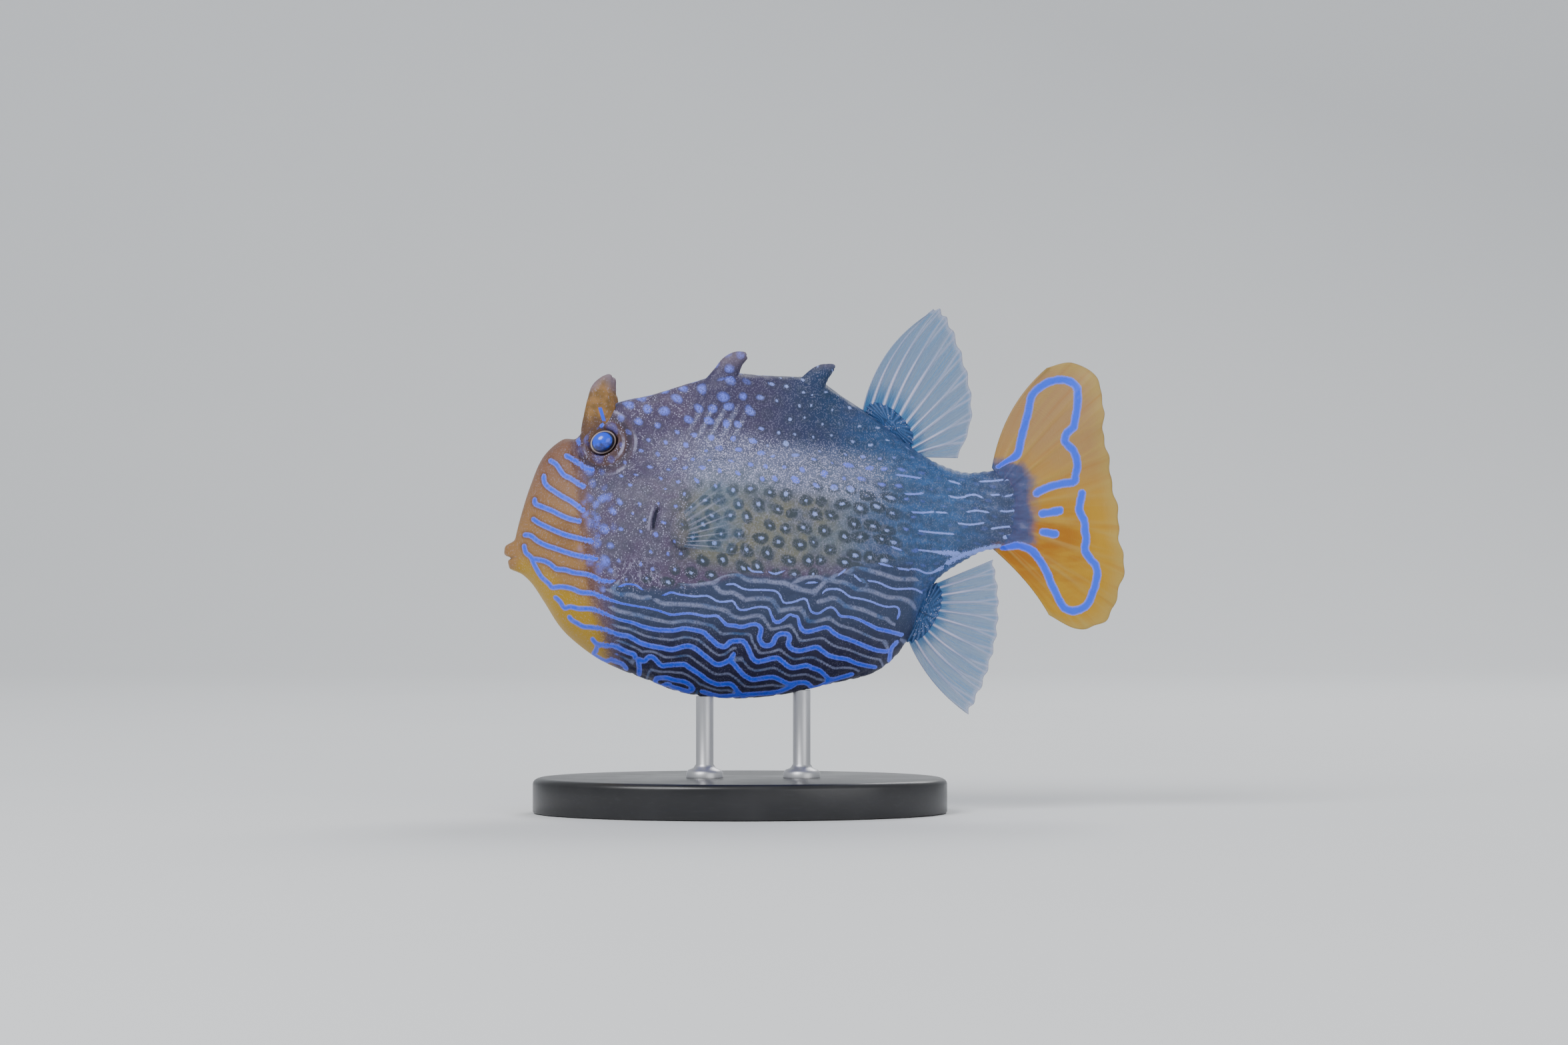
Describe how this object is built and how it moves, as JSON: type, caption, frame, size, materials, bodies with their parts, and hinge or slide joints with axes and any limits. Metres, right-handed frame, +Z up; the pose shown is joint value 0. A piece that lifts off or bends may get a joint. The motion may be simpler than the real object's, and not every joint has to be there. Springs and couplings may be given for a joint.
{
  "type": "ornate boxfish",
  "caption": "Life-size still model of a male ornate boxfish on a display stand: hexagonal armour, snout hump, eye horns, blue line pattern and amber tail.",
  "frame": {"origin": "centre of the underside of the display stand's base", "axes": "+Z up, -X towards the fish's snout, -Y towards its own left side"},
  "size_m": [0.1402, 0.069, 0.1147],
  "materials": {
    "armour": "satin",
    "snout_skin": "satin",
    "stalk_skin": "satin",
    "horn": "satin",
    "clear_fin": "gloss",
    "tail_membrane": "satin",
    "eye": "gloss",
    "stand_black": "satin",
    "stand_steel": "brushed"
  },
  "bodies": {
    "root": {"head": "snout_skin", "torso": "armour", "tail_stalk": "stalk_skin", "upper_lip": "snout_skin", "lower_lip": "snout_skin", "eye_left": "eye", "horn_left": "horn", "front_spine_left": "armour", "rear_spine_left": "armour", "pectoral_fin_left": "clear_fin", "eye_right": "eye", "horn_right": "horn", "front_spine_right": "armour", "rear_spine_right": "armour", "pectoral_fin_right": "clear_fin", "dorsal_fin": "clear_fin", "anal_fin": "clear_fin", "caudal_fin": "tail_membrane", "stand_base": "stand_black", "stand_rod_front": "stand_steel", "stand_rod_rear": "stand_steel"}
  },
  "joints": []
}
